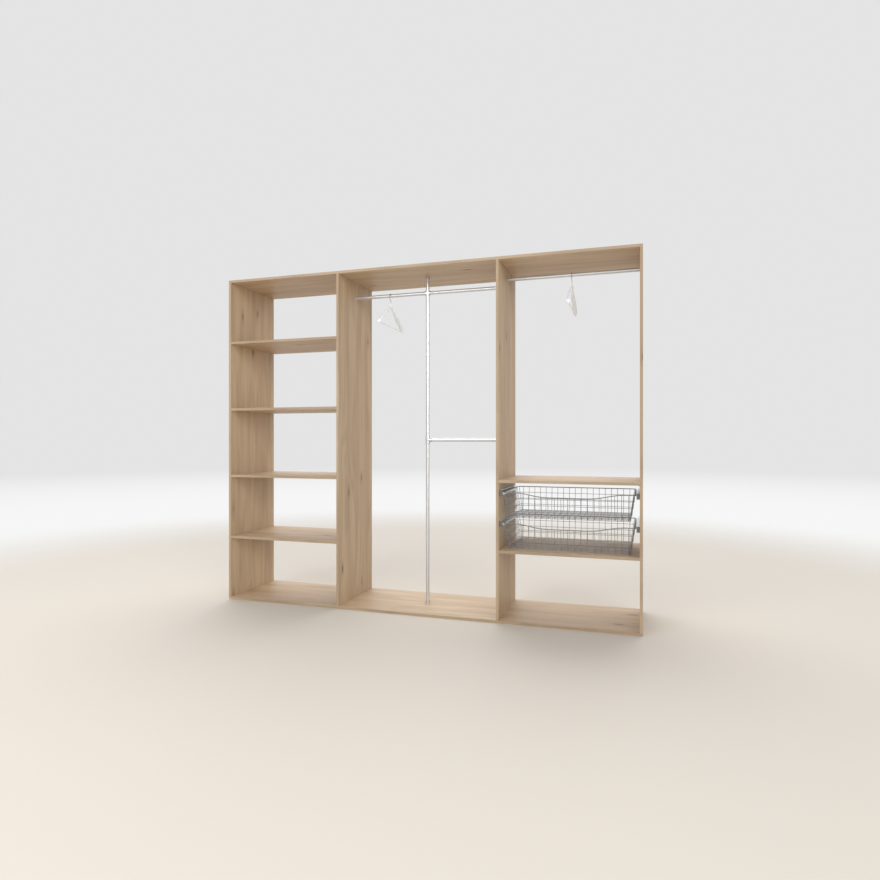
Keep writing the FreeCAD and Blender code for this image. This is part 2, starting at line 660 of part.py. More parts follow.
def runner(basket, side, face, inward, panel, z, screws):
    """One runner: outer member on the panel, inner member on the carrier, ball cage between them."""
    sheet = RAIL_SHEET
    top = RAIL_HEIGHT / 2
    lip = RAIL_WIDTH - RAIL_MOUTH
    outer = [(0, top), (lip, top), (lip, top - RAIL_LIP), (lip - sheet, top - RAIL_LIP)]
    outer += [(lip - sheet, top - sheet), (sheet, top - sheet)]
    outer += [(away, -high) for away, high in reversed(outer)]
    length = Vector(0, RAIL_LENGTH, 0)
    name = "runner_" + basket + "_" + side + "_outer"
    middle = FRONT + RAIL_START + RAIL_LENGTH / 2
    spread = RAIL_LENGTH / 2 - FASTENER_INSET
    for y in (middle - spread, middle, middle + spread):
        fasten(screws, Vector(face + inward * sheet, y, z), Vector(-inward, 0, 0), (panel, name))
    save(name, drilled(name, prism(rail_profile(face, inward, z, outer), length)))

    race = top - sheet - 2 * (BALL_RADIUS + BALL_PLAY)
    cage_web = sheet + CAGE_PLAY
    inner_start = cage_web + CAGE_SHEET + CAGE_PLAY
    inner = [(RAIL_WIDTH, race), (inner_start, race), (inner_start, race - sheet)]
    inner += [(RAIL_WIDTH - sheet, race - sheet)]
    inner += [(away, -high) for away, high in reversed(inner)]
    name = "runner_" + basket + "_" + side + "_inner"
    rivets = []
    for y in (middle - spread, middle, middle + spread):
        rivets.append(rivet(face, inward, y, z - RIVET_DROP))
        hole = rivet_hole(face, inward, y, z - RIVET_DROP)
        drill(name, hole)
        drill("basket_" + basket + "_carrier_" + side, hole)
    save(name, drilled(name, prism(rail_profile(face, inward, z, inner), length)))

    row = race + BALL_RADIUS + BALL_PLAY
    half = CAGE_SHEET / 2
    cage_end = lip - sheet - CAGE_PLAY
    cage = [(cage_web, row + half), (cage_end, row + half), (cage_end, row - half)]
    cage += [(cage_web + CAGE_SHEET, row - half)]
    cage += [(away, -high) for away, high in reversed(cage)]
    strip = prism(rail_profile(face, inward, z, cage), Vector(0, CAGE_LENGTH, 0))
    strip.translate(Vector(0, (RAIL_LENGTH - CAGE_LENGTH) / 2, 0))
    balls = []
    pitch = CAGE_LENGTH / BALLS_PER_ROW
    ball_x = face + inward * (sheet + lip - sheet) / 2
    for number in range(BALLS_PER_ROW):
        y = middle + pitch * (number + 0.5) - CAGE_LENGTH / 2
        for high in (row, -row):
            centre = Vector(ball_x, y, z + high)
            balls.append(Part.makeSphere(BALL_RADIUS, centre))
            strip = strip.cut(rod_between(centre - UP, centre + UP, BALL_RADIUS + FIT))
    save("ball_cage_" + basket + "_" + side, [strip] + balls)
    return rivets


def rivet(face, inward, y, z):
    """A rivet through the inner member and the carrier, with a head on each side."""
    low = RAIL_WIDTH - RAIL_SHEET - RIVET_HEAD_THICK
    high = RAIL_WIDTH + CARRIER_SHEET
    profile = [(0, 0), (RIVET_HEAD, 0), (RIVET_HEAD, RIVET_HEAD_THICK)]
    profile += [(RIVET_RADIUS, RIVET_HEAD_THICK)]
    profile += [(RIVET_RADIUS, high - low), (RIVET_HEAD, high - low)]
    profile += [(RIVET_HEAD / 2, high - low + RIVET_HEAD_THICK), (0, high - low + RIVET_HEAD_THICK)]
    return turned(profile, Vector(face + inward * low, y, z), Vector(inward, 0, 0))


def rivet_hole(face, inward, y, z):
    start = Vector(face + inward * (RAIL_WIDTH - 2 * RAIL_SHEET), y, z)
    end = Vector(face + inward * (RAIL_WIDTH + 2 * CARRIER_SHEET), y, z)
    return rod_between(start, end, RIVET_RADIUS + FIT / 2)


def carrier(basket, side, face, inward, z):
    """The angle that the rim rests on, riveted to the inner member."""
    high = RAIL_DROP - RIM_RADIUS - RIM_SEAT
    far = RAIL_WIDTH + CARRIER_SHEET
    ledge = BASKET_SIDE_GAP + CARRIER_LEDGE
    points = [(RAIL_WIDTH, high), (ledge, high), (ledge, high - CARRIER_SHEET)]
    points += [(far, high - CARRIER_SHEET), (far, -RAIL_HEIGHT / 2), (RAIL_WIDTH, -RAIL_HEIGHT / 2)]
    name = "basket_" + basket + "_carrier_" + side
    angle = prism(rail_profile(face, inward, z, points), Vector(0, RAIL_LENGTH, 0))
    save(name, drilled(name, angle))


def front_clip(face, inward, z):
    """The plastic clip that closes the runner's front end, with a tongue on the carrier."""
    near = face + inward * SHELF_PLAY
    far = face + inward * (SHELF_PLAY + CLIP_WIDTH)
    end = FRONT + RAIL_START
    plate = block((near, far), (FRONT + CLIP_FRONT, end), (z - CLIP_HEIGHT / 2, z + CLIP_HEIGHT / 2))
    front_edges = [e for e in plate.Edges if e.BoundBox.YMax < FRONT + CLIP_FRONT + CLIP_FILLET]
    plate = plate.makeFillet(CLIP_FILLET, front_edges)
    flange = face + inward * (RAIL_WIDTH + CARRIER_SHEET)
    high = z + RAIL_DROP - RIM_RADIUS - RIM_SEAT - CARRIER_SHEET - FIT
    tongue = block((flange, far), (end - FIT, end + CLIP_TONGUE), (z - RAIL_HEIGHT / 2 + 1, high))
    return plate.fuse(tongue)


def baskets():
    """Both baskets on their runners."""
    screws = []
    half_x = BAY_RIGHT / 2 - BASKET_SIDE_GAP
    half_y = (DEPTH - RIM_FRONT - RIM_BACK) / 2
    centre_x = (RIGHT_BAY[0] + RIGHT_BAY[1]) / 2
    centre_y = (RIM_FRONT - RIM_BACK) / 2
    for basket, rim_z in BASKET_RIMS.items():
        middle = Vector(centre_x, centre_y, rim_z)
        path = rim_path(middle, half_x, half_y)
        start = path[0].valueAt(path[0].FirstParameter)
        save("basket_" + basket + "_rim", swept(path, start, Vector(1, 0, 0), RIM_RADIUS))
        save("basket_" + basket + "_mesh", basket_mesh(middle, half_x, half_y))
        z = rim_z - RAIL_DROP
        rivets = []
        clips = []
        for side, face, inward, panel in (
            ("left", RIGHT_BAY[0], 1, "divider_right"),
            ("right", RIGHT_BAY[1], -1, "right_side_panel"),
        ):
            rivets += runner(basket, side, face, inward, panel, z, screws)
            carrier(basket, side, face, inward, z)
            clips.append(front_clip(face, inward, z))
        save("basket_" + basket + "_rivets", rivets)
        save("basket_" + basket + "_front_clips", clips)
    save("runner_screws", screws)


def main():
    os.makedirs("parts", exist_ok=True)
    carcass_joints()
    left_sides = ("left_side_panel", "divider_left")
    right_sides = ("divider_right", "right_side_panel")
    left_pins, left_bands = shelves(LEFT_BAY, left_sides, LEFT_SHELVES, "left")
    right_pins, right_bands = shelves(RIGHT_BAY, right_sides, RIGHT_SHELVES, "right")
    rods()
    hanger("hanger_left", HANGER_LEFT_X, ROD_MIDDLE_Z)
    hanger("hanger_right", HANGER_RIGHT_X, ROD_RIGHT_Z)
    baskets()
    carcass(left_pins + right_pins, left_bands + right_bands)


main()
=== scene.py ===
import math

import bmesh
import bpy
from mathutils import Matrix, Vector


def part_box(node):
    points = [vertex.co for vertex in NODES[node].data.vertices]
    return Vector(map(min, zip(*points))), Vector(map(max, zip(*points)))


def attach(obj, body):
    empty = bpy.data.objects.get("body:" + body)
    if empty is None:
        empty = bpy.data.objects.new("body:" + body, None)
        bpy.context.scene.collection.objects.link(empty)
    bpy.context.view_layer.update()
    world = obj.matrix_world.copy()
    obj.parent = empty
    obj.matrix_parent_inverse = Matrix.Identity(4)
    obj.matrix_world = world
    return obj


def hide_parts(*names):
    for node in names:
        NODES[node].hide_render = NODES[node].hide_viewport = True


bl_info = {
    "name": "Walk-in closet looks",
    "version": (1, 0, 0),
    "blender": (4, 5, 0),
    "location": "View3D > Sidebar > Closet",
    "description": "Dresses the three-bay closet in oak melamine, chrome, coated wire and plastic",
    "category": "Object",
}

# The fixed frame: every node sits at the origin with its place in its mesh, in metres.
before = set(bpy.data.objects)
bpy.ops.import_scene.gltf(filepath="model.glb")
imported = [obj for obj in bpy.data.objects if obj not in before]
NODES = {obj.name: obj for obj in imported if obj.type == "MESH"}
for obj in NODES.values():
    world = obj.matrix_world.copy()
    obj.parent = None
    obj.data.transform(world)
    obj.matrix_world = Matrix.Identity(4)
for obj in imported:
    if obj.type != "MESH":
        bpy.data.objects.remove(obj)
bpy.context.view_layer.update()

SIDE_PANELS = ("left_side_panel", "right_side_panel")
DIVIDERS = ("divider_left", "divider_right")
BOARDS_LEVEL = (
    "top_panel",
    "bottom_panel",
    "left_shelf_1",
    "left_shelf_2",
    "left_shelf_3",
    "left_shelf_4",
    "right_shelf_1",
    "right_shelf_2",
)
RODS = ("hanging_rod_middle_left", "hanging_rod_middle_right", "hanging_rod_half", "hanging_rod_right")
BASKETS = ("upper", "lower")
SIDES = ("left", "right")

# Welded wires sink into what they touch. In radii of the wire, its line lies this far from the rim's inner side,
# from the line of a wire that it crosses, and from the rim's bend
RIM_WELD = 0.8
CROSS_WELD = 1.8
CORNER_WELD = 0.6
# Room that the corner needs beside the last upright wire, in radii of the wire
CORNER_ROOM = 4
# How far the middle of a rounded corner stays back along each side, as a share of its radius
CORNER_CUT = 1 - math.sqrt(0.5)
# A bend takes a little less than half of the run on each side of it
RUN_SHARE = 0.49

# The hanger's arm, lengths in metres: its line starts below the rod's middle, falls in a rounded step beside
# the neck, and then runs down a slope that steepens
NECK_DROP = 0.078
NECK_ROUND = 0.008
NECK_STEP = 0.016
NECK_RUN = 0.028
ARM_SLOPE = 0.495
ARM_STEEPENING = 0.4
# Where the arm swells to its shoulder, and over what distance
SWELL_AT = 0.085
SWELL_RUN = 0.032
# Half of the arm's height at the neck, and how much of it goes by the shoulder
ARM_HALF_HEIGHT = 0.009
ARM_TAPER = 0.001
# Turns through the rounding of the shoulder's end, in degrees
SHOULDER_TURNS = (0, 20, 38, 54, 68, 80)

# The hanger's neck: pairs of the distance below the middle of the rod and the radius there
BODY_TOP = 0.062
COLLAR = ((BODY_TOP, 0.0052), (0.0632, 0.0065), (NECK_DROP, 0.0065))
HOOK_BORE = ((0.061, 0.00185), (0.096, 0.00185))
HEAD_POCKET = ((0.08, 0.0032), (0.096, 0.0032))
# The lugs that hold the trouser bar: how far in from the end, their radius, and the chamfer of their lower end
LUG_INSET = 0.008
LUG_RADIUS = 0.0065
LUG_CHAMFER = 0.0015
LUG_END_RADIUS = 0.005
# The bar below the arm's line at its end, the lug below the bar, and the bar's hole, which ends in the lug
BAR_DROP = 0.006
LUG_BELOW_BAR = 0.006
BAR_HOLE_RADIUS = 0.00305
BAR_HOLE_PAST_MIDDLE = 0.0021
# Corners of thin faces nearer than this are joined
WELD_DISTANCE = 0.0000015
# Edges sharper than this stay crisp
CREASE = math.radians(38)

# Half of the floor's side, and the distances over which its paint turns to haze and the haze to the wall's colour
FLOOR_HALF = 60.0
PAINT_TO_HAZE = (3.6, 6.6)
HAZE_TO_WALL = (8.0, 24.0)
# Light from all round is slightly cool, so that white plastic and metal stay neutral beside the warm boards
SKY = "#e6effc"
SKY_STRENGTH = 0.5
# The camera of the photograph's view, in metres, radians and millimetres
CAMERA_PLACE = (1.4675, -4.3064, 1.2033)
CAMERA_TURNS = (math.pi / 2 - 0.0009, 0.0, 0.3089)
CAMERA_LENS = 25.615
CAMERA_SENSOR = 36.0


def linear(code):
    """A six-digit sRGB hex colour as linear red, green, blue and alpha."""
    parts = [int(code[i : i + 2], 16) / 255 for i in (1, 3, 5)]
    return [p / 12.92 if p <= 0.04045 else ((p + 0.055) / 1.055) ** 2.4 for p in parts] + [1.0]


def colour(label, code, about):
    """A colour property whose default is an sRGB hex value."""
    return bpy.props.FloatVectorProperty(
        name=label, description=about, subtype="COLOR", size=4, min=0.0, max=1.0, default=linear(code)
    )


def length(label, metres, about):
    """A length property in metres."""
    return bpy.props.FloatProperty(
        name=label, description=about, default=metres, min=0.0, unit="LENGTH", subtype="DISTANCE"
    )


class ClosetColours(bpy.types.PropertyGroup):
    """Colours of the finishes."""

    oak: colour("Oak", "#bda283", "Middle tone of the oak print")
    oak_dark: colour("Oak dark", "#9c8165", "Late wood, pores and streaks of the oak print")
    oak_light: colour("Oak light", "#c9b191", "Early wood of the oak print")
    oak_knot: colour("Oak knot", "#725840", "Small knots of the oak print")
    chrome: colour("Chrome", "#d9dcdf", "Plated tube and fittings")
    hook: colour("Hook wire", "#9a9da0", "Bright wire of the hanger hooks")
    wire: colour("Basket wire", "#8c8c8c", "Silver-grey coating of the basket wire")
    zinc: colour("Zinc", "#eef1f4", "Bright zinc of the runners and screws")
    plastic_dark: colour("Dark plastic", "#67625e", "Moulded front clips")
    plastic_white: colour("White plastic", "#f6faff", "Moulded hanger bodies")
    plug: colour("End plug", "#e4e4e4", "Moulded end plugs of the rods")
    beech: colour("Beech", "#c9a27a", "Wooden dowels")
    floor: colour("Floor", "#d0c7ba", "Plain pale floor")
    haze: colour("Haze", "#f6f6f6", "Pale background where it meets the floor")
    wall: colour("Wall", "#e4e4e4", "Plain pale background")


class ClosetSizes(bpy.types.PropertyGroup):
    """Sizes of the pieces that are made here."""

    wire_radius: length("Wire radius", 0.0015, "Half of the basket wire's thickness")
    rim_radius: length("Rim radius", 0.003, "Half of the basket rim's thickness")
    rim_corner: length("Rim corner", 0.022, "Bend radius of the rim's corners")
    pitch: length("Wire pitch", 0.0415, "Spacing of the upright wires")
    row: length("Row pitch", 0.042, "Spacing of the level rows")
    dip: length("Rim dip", 0.03, "How far the front of the rim dips")
    dip_flat: length("Dip flat", 0.11, "Half of the level part of the dip")
    dip_run: length("Dip run", 0.265, "Length of each slope of the dip")
    inset_x: length("Side inset", 0.026, "How far the side walls lean in")
    inset_y: length("Front inset", 0.022, "How far the front and back walls lean in")
    wire_bend: length("Wire bend", 0.009, "Bend radius of the wires at the floor of the basket")
    loop_corner: length("Loop corner", 0.016, "Bend radius of the level rows")
    shoulder: length("Shoulder", 0.0155, "Half of the hanger's thickness at its shoulders")
    arm_root: length("Arm root", 0.0075, "Half of the hanger's thickness beside its neck")
    shoulder_round: length("Shoulder round", 0.009, "How far in the rounding of the shoulder ends begins")
    wire_sides: bpy.props.IntProperty(name="Wire sides", description="Faces round the wire", default=8, min=3)
    rows: bpy.props.IntProperty(name="Rows", description="Level rows down to the basket's floor", default=4, min=1)


def node(tree, kind, settings=None, links=None, outputs=None):
    """Adds one node with its settings, its input values and its links."""
    made = tree.nodes.new(kind)
    for key, value in (settings or {}).items():
        setattr(made, key, value)
    for key, value in (links or {}).items():
        socket = made.inputs[key]
        if isinstance(value, bpy.types.NodeSocket):
            tree.links.new(value, socket)
        else:
            socket.default_value = value
    return made.outputs[outputs] if outputs is not None else made


def material(name):
    """A new node material and its empty tree."""
    made = bpy.data.materials.new(name)
    made.use_nodes = True
    made.node_tree.nodes.clear()
    return made, made.node_tree


def along_grain(tree, along):
    """Object coordinates as (along, across, through) for a grain that runs along X or Z."""
    split = node(tree, "ShaderNodeSeparateXYZ", links={0: node(tree, "ShaderNodeTexCoord", outputs="Object")})
    order = {"X": ("X", "Y", "Z"), "Z": ("Z", "Y", "X")}[along]
    return node(tree, "ShaderNodeCombineXYZ", links={i: split.outputs[a] for i, a in enumerate(order)}, outputs=0)


def shade_of(code, share):
    """A colour at a share of its lightness."""
    return [c * share for c in code[:3]] + [1.0]


def oak_melamine(name, along, colours, share=1.0):
    """Oak-print melamine: matt, with soft bands, a faint arched figure, thin streaks and a few small knots."""
    made, tree = material(name)
    grain = along_grain(tree, along)
    fields = {}
    for key, scales, detail, distortion in (
        # Broad bands about 100 mm wide that drift along the board
        ("bands", (0.7, 10.0, 3.1), 4.0, 0.5),
        # Arched figure: growth rings 20 to 60 mm apart, drawn out to half a metre along the board
        ("rings", (0.5, 4.2, 1.7), 1.6, 0.3),
        # Streaks about 12 mm wide and 400 mm long
        ("streaks", (2.4, 80.0, 30.0), 4.0, 0.3),
        # Pores about 1 mm wide and 25 mm long, drawn coarser than real so that they show
        ("pores", (40.0, 1000.0, 700.0), 2.0, 0.0),
    ):
        place = node(tree, "ShaderNodeVectorMath", {"operation": "MULTIPLY"}, {0: grain, 1: scales}, 0)
        values = {"Vector": place, "Scale": 1.0, "Detail": detail, "Distortion": distortion}
        fields[key] = node(tree, "ShaderNodeTexNoise", links=values, outputs=0)
    # A ring for each eighth or so of the noise's range
    turns = node(tree, "ShaderNodeMath", {"operation": "MULTIPLY"}, {0: fields["rings"], 1: 48.0}, 0)
    fields["figure"] = node(tree, "ShaderNodeMath", {"operation": "SINE"}, {0: turns}, 0)
    # Knots: a cell of about 0.4 by 0.14 m shows one where its point lies near the face of the board.
    # The dark heart is about 20 mm wide in a faint halo of about 45 mm, and both are drawn out along the board
    place = node(tree, "ShaderNodeVectorMath", {"operation": "MULTIPLY"}, {0: grain, 1: (2.4, 7.0, 5.0)}, 0)
    fields["knots"] = node(tree, "ShaderNodeTexVoronoi", {"feature": "F1"}, {"Vector": place, "Scale": 1.0}, 0)
    # share darkens the whole print, stains too: below 1 it is painted shade, as on the dividers and edge bands
    tone = shade_of(colours.oak, share)
    for key, low, high, most, stain in (
        ("bands", 0.35, 0.65, 1.0, colours.oak_light),
        ("figure", -0.2, 1.0, 0.22, colours.oak_dark),
        ("streaks", 0.48, 0.78, 0.45, colours.oak_dark),
        ("pores", 0.56, 0.7, 0.22, colours.oak_dark),
        ("knots", 0.24, 0.06, 0.4, colours.oak_dark),
        ("knots", 0.1, 0.04, 0.75, colours.oak_knot),
    ):
        part = node(tree, "ShaderNodeMapRange", {"interpolation_type": "SMOOTHSTEP"},
                    {"Value": fields[key], "From Min": low, "From Max": high, "To Max": most}, 0)
        tone = node(tree, "ShaderNodeMix", {"data_type": "RGBA"},
                    {"Factor": part, 6: tone, 7: shade_of(stain, share)}, 2)
    bump = node(tree, "ShaderNodeBump",
                links={"Strength": 0.12, "Distance": 0.0002, "Height": fields["pores"]}, outputs=0)
    shine = node(tree, "ShaderNodeMapRange",
                 links={"Value": fields["streaks"], "To Min": 0.42, "To Max": 0.56}, outputs=0)
    shader = node(tree, "ShaderNodeBsdfPrincipled",
                  links={"Base Color": tone, "Roughness": shine, "IOR": 1.4, "Normal": bump})
    node(tree, "ShaderNodeOutputMaterial", links={"Surface": shader.outputs[0]})
    return made


def drawn_metal(name, along, base, metallic, rough, spread):
    """Plated drawn steel: bright, with fine lines along the piece and a faintly cloudy polish."""
    made, tree = material(name)
    grain = along_grain(tree, along)
    fields = []
    for scales, detail in (
        # Drawing lines about 1 mm wide and 80 mm long, coarser than real so that they show
        ((12.0, 900.0, 900.0), 2.0),
        # Clouds about 30 mm wide and 110 mm long
        ((9.0, 30.0, 30.0), 3.0),
    ):
        place = node(tree, "ShaderNodeVectorMath", {"operation": "MULTIPLY"}, {0: grain, 1: scales}, 0)
        values = {"Vector": place, "Scale": 1.0, "Detail": detail}
        fields.append(node(tree, "ShaderNodeTexNoise", links=values, outputs=0))
    lines, cloud = fields
    shine = node(tree, "ShaderNodeMath", {"operation": "MULTIPLY_ADD"},
                 {0: lines, 1: spread, 2: rough - spread / 2}, 0)
    tone = node(tree, "ShaderNodeMix", {"data_type": "RGBA"}, {"Factor": cloud, 6: shade_of(base, 0.92), 7: base}, 2)
    shader = node(tree, "ShaderNodeBsdfPrincipled",
                  links={"Base Color": tone, "Metallic": metallic, "Roughness": shine})
    node(tree, "ShaderNodeOutputMaterial", links={"Surface": shader.outputs[0]})
    return made


def zinc_plate(name, base):
    """Bright zinc on pressed steel: a faint crystal pattern in the shine."""
    made, tree = material(name)
    place = node(tree, "ShaderNodeTexCoord", outputs="Object")
    # Crystals about 9 mm across, as on plated sheet
    cells = node(tree, "ShaderNodeTexVoronoi", {"feature": "F1"}, {"Vector": place, "Scale": 110.0})
    grey = node(tree, "ShaderNodeRGBToBW", links={0: cells.outputs["Color"]}, outputs=0)
    shine = node(tree, "ShaderNodeMapRange", links={"Value": grey, "To Min": 0.17, "To Max": 0.24}, outputs=0)
    tone = node(tree, "ShaderNodeMix", {"data_type": "RGBA"}, {"Factor": grey, 6: shade_of(base, 0.94), 7: base}, 2)
    shader = node(tree, "ShaderNodeBsdfPrincipled", links={"Base Color": tone, "Metallic": 0.85, "Roughness": shine})
    node(tree, "ShaderNodeOutputMaterial", links={"Surface": shader.outputs[0]})
    return made


def coated_wire(name, base):
    """Silver-grey epoxy coat on steel wire: slightly orange-peeled, with a soft metallic shine."""
    made, tree = material(name)
    place = node(tree, "ShaderNodeTexCoord", outputs="Object")
    # Peel about 1.5 mm across, and patches of about 70 mm that took more or less of the coat
    peel = node(tree, "ShaderNodeTexNoise", links={"Vector": place, "Scale": 700.0, "Detail": 2.0}, outputs=0)
    cloud = node(tree, "ShaderNodeTexNoise", links={"Vector": place, "Scale": 14.0, "Detail": 2.0}, outputs=0)
    tone = node(tree, "ShaderNodeMix", {"data_type": "RGBA"}, {"Factor": cloud, 6: shade_of(base, 0.8), 7: base}, 2)
    bump = node(tree, "ShaderNodeBump", links={"Strength": 0.15, "Distance": 0.0001, "Height": peel}, outputs=0)
    shader = node(tree, "ShaderNodeBsdfPrincipled",
                  links={"Base Color": tone, "Metallic": 0.6, "Roughness": 0.38, "Normal": bump})
    node(tree, "ShaderNodeOutputMaterial", links={"Surface": shader.outputs[0]})
    return made


def moulded_plastic(name, base, rough, grain):
    """Moulded plastic: a fine spark-eroded grain and a little unevenness in the shine."""
    made, tree = material(name)
    place = node(tree, "ShaderNodeTexCoord", outputs="Object")
    # Grain about 0.7 mm across, coarser than real so that it shows, and flow patches of about 45 mm
    fine = node(tree, "ShaderNodeTexNoise", links={"Vector": place, "Scale": 1400.0, "Detail": 2.0}, outputs=0)
    cloud = node(tree, "ShaderNodeTexNoise", links={"Vector": place, "Scale": 22.0, "Detail": 2.0}, outputs=0)
    tone = node(tree, "ShaderNodeMix", {"data_type": "RGBA"}, {"Factor": cloud, 6: shade_of(base, 0.95), 7: base}, 2)
    shine = node(tree, "ShaderNodeMapRange",
                 links={"Value": cloud, "To Min": rough - 0.05, "To Max": rough + 0.05}, outputs=0)
    bump = node(tree, "ShaderNodeBump", links={"Strength": grain, "Distance": 0.0001, "Height": fine}, outputs=0)
    shader = node(tree, "ShaderNodeBsdfPrincipled",
                  links={"Base Color": tone, "Roughness": shine, "IOR": 1.46, "Normal": bump})
    node(tree, "ShaderNodeOutputMaterial", links={"Surface": shader.outputs[0]})
    return made


def turned_beech(name, base):
    """Beech dowel: pale pink-brown wood with short dark flecks along the grain."""
    made, tree = material(name)
    # Flecks about 1 mm wide and 6 mm long
    place = node(tree, "ShaderNodeVectorMath", {"operation": "MULTIPLY"},
                 {0: along_grain(tree, "Z"), 1: (160.0, 900.0, 900.0)}, 0)
    flecks = node(tree, "ShaderNodeTexNoise", links={"Vector": place, "Scale": 1.0, "Detail": 2.0}, outputs=0)
    part = node(tree, "ShaderNodeMapRange",
                links={"Value": flecks, "From Min": 0.5, "From Max": 0.7, "To Max": 0.6}, outputs=0)
    tone = node(tree, "ShaderNodeMix", {"data_type": "RGBA"}, {"Factor": part, 6: base, 7: shade_of(base, 0.6)}, 2)
    shader = node(tree, "ShaderNodeBsdfPrincipled", links={"Base Color": tone, "Roughness": 0.6, "IOR": 1.5})
    node(tree, "ShaderNodeOutputMaterial", links={"Surface": shader.outputs[0]})
    return made


def dress(names, *finishes):
    """Puts the finishes in the material slots of CAD nodes."""
    for name in names:
        slots = NODES[name].data.materials
        slots.clear()
        for one in finishes:
            slots.append(one)


def wire_tree(name):
    """Geometry nodes that turn a mesh of paths into round wire."""
    tree = bpy.data.node_groups.new(name, "GeometryNodeTree")
    face = tree.interface
    face.new_socket("Paths", in_out="INPUT", socket_type="NodeSocketGeometry")
    face.new_socket("Wire Radius", in_out="INPUT", socket_type="NodeSocketFloat")
    face.new_socket("Wire Sides", in_out="INPUT", socket_type="NodeSocketInt")
    face.new_socket("Finish", in_out="INPUT", socket_type="NodeSocketMaterial")
    face.new_socket("Wire", in_out="OUTPUT", socket_type="NodeSocketGeometry")
    given = node(tree, "NodeGroupInput")
    paths = node(tree, "GeometryNodeMeshToCurve", links={0: given.outputs["Paths"]}, outputs=0)
    ring = node(tree, "GeometryNodeCurvePrimitiveCircle",
                links={"Resolution": given.outputs["Wire Sides"], "Radius": given.outputs["Wire Radius"]}, outputs=0)
    tube = node(tree, "GeometryNodeCurveToMesh",
                links={"Curve": paths, "Profile Curve": ring, "Fill Caps": True}, outputs=0)
    smooth = node(tree, "GeometryNodeSetShadeSmooth", links={0: tube}, outputs=0)
    real = node(tree, "GeometryNodeRealizeInstances", links={0: smooth}, outputs=0)
    done = node(tree, "GeometryNodeSetMaterial",
                links={"Geometry": real, "Material": given.outputs["Finish"]}, outputs=0)
    node(tree, "NodeGroupOutput", links={0: done})
    return tree


def grown(name, mesh, tree, inputs):
    """The plain mesh object that a geometry tree makes from a mesh."""
    source = bpy.data.objects.new(name + "_source", mesh)
    bpy.context.scene.collection.objects.link(source)
    modifier = source.modifiers.new("wire", "NODES")
    modifier.node_group = tree
    for item in tree.interface.items_tree:
        if item.in_out == "INPUT" and item.name in inputs:
            modifier[item.identifier] = inputs[item.name]
    bpy.context.view_layer.update()
    evaluated = source.evaluated_get(bpy.context.evaluated_depsgraph_get())
    result = bpy.data.meshes.new_from_object(evaluated)
    source.modifiers.remove(modifier)
    bpy.data.objects.remove(source)
    result.name = name
    made = bpy.data.objects.new(name, result)
    bpy.context.scene.collection.objects.link(made)
    if not result.polygons:
        raise RuntimeError(name + " came out empty")
    return made


def path_mesh(name, paths):
    """A mesh of edges only: each path is a list of points, closed where its flag says so."""
    points, edges = [], []
    for path, closed in paths:
        start = len(points)
        points += path
        edges += [(start + i, start + i + 1) for i in range(len(path) - 1)]
        if closed:
            edges.append((start + len(path) - 1, start))
    mesh = bpy.data.meshes.new(name)
    mesh.from_pydata(points, edges, [])
    return mesh


def bent(corners, radius, closed, steps=5):
    """A path through corner points with each corner rounded to a radius."""
    count = len(corners)
    path = []
    for i, corner in enumerate(corners):
        if not closed and i in (0, count - 1):
            path.append(corner.copy())
            continue
        back = corners[i - 1] - corner
        ahead = corners[(i + 1) % count] - corner
        angle = back.angle(ahead)
        cut = min(radius / math.tan(angle / 2), back.length * RUN_SHARE, ahead.length * RUN_SHARE)
        start = corner + back.normalized() * cut
        end = corner + ahead.normalized() * cut
        for step in range(steps + 1):
            t = step / steps
            path.append(start * (1 - t) ** 2 + corner * 2 * t * (1 - t) + end * t * t)
    return path


def dip_height(x, sizes):
    """Height of the front rim against its ends at a distance from its middle."""
    t = min(max((abs(x) - sizes.dip_flat) / sizes.dip_run, 0.0), 1.0)
    return -sizes.dip * (1 - t * t * (3 - 2 * t))


